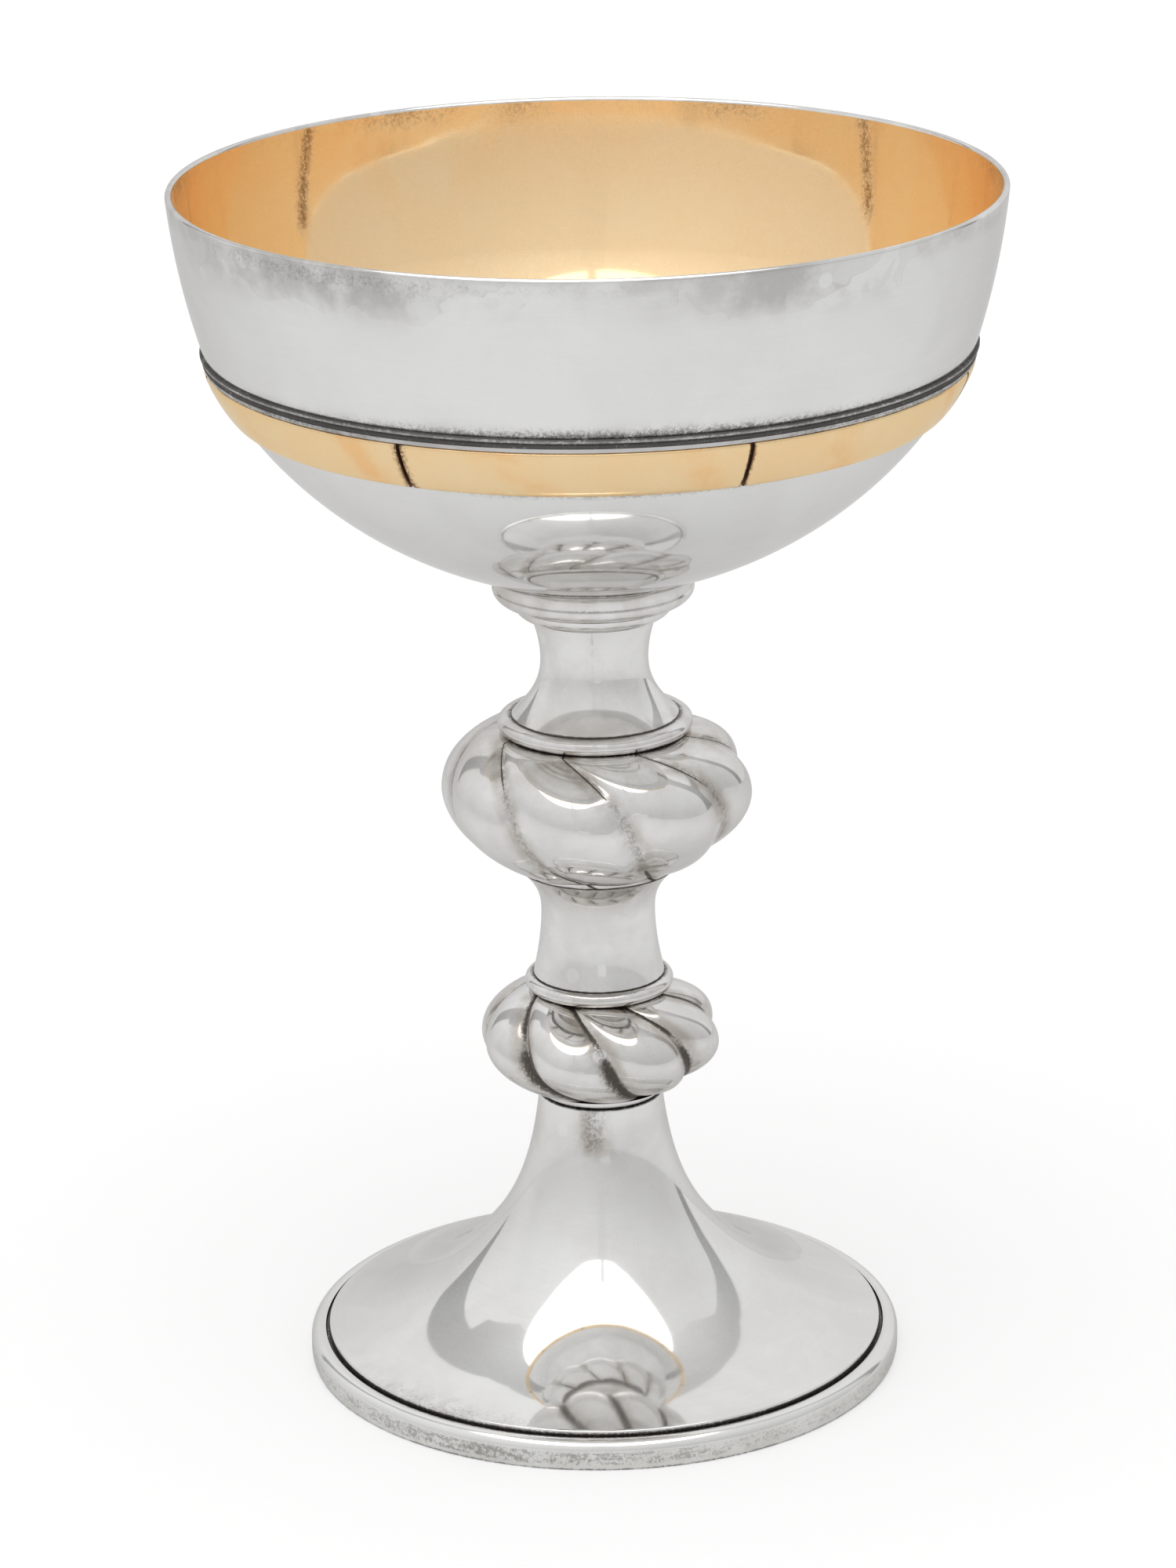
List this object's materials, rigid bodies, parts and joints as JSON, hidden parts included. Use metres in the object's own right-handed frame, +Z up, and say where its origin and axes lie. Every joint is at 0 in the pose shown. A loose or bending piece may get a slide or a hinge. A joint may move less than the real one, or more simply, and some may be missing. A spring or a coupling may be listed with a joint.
{
  "type": "ciborium vessel",
  "caption": "Footed liturgical cup: wide open bowl gilt inside with a gilt girdle band, waisted stem with swirled knops and rings, trumpet foot with a moulded edge.",
  "frame": {"origin": "on the floor under the vessel's axis, at the centre of the foot", "axes": "+Z up along the axis of the cup and stem; +X to the right and -Y towards the viewer's side"},
  "size_m": [0.1269, 0.1268, 0.191],
  "materials": {
    "silver": "polished silver with dark oxide in the grooves",
    "tarnished_silver": "worn silver speckled with tarnish",
    "dark_silver": "oxidised silver, bright on its edges",
    "gilt": "satin pale gilding",
    "steel": "machined"
  },
  "bodies": {
    "root": {"cup": "silver", "gilt_lining": "gilt", "girdle_wire": "dark_silver", "gilt_band": "gilt", "applied_cross": "silver", "cup_boss": "silver", "collar_flange": "silver", "collar_ring": "silver", "upper_stem": "silver", "upper_knop_ring": "silver", "upper_knop": "silver", "middle_stem": "silver", "lower_knop_ring": "silver", "lower_knop": "silver", "neck_bead": "silver", "foot": "silver", "foot_moulding": "tarnished_silver", "neck_disc": "silver", "tie_rod": "steel", "washer": "steel", "nut": "steel"}
  },
  "joints": []
}
